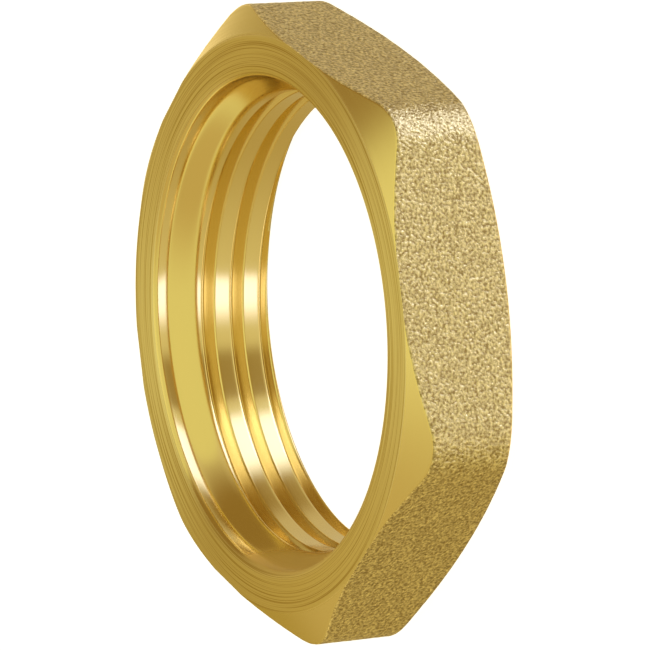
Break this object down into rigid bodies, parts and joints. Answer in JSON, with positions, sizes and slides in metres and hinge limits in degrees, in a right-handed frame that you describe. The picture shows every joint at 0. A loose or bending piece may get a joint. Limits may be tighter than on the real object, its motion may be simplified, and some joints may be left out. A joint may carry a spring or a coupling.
{
  "type": "hexagonal lock nut",
  "caption": "Thin hexagonal lock nut for pipe thread: chamfered hexagon, counterbored front, threaded through bore.",
  "frame": {"origin": "centre of the back face, on the bore axis", "axes": "+Z along the bore axis from the back face to the counterbored front face, +X at the middle of one flat"},
  "size_m": [0.031, 0.0348, 0.007],
  "materials": {
    "brass": "turned satin faces and chamfers, blasted flats, bright cut thread"
  },
  "bodies": {
    "root": {"lock_nut": "brass"}
  },
  "joints": []
}
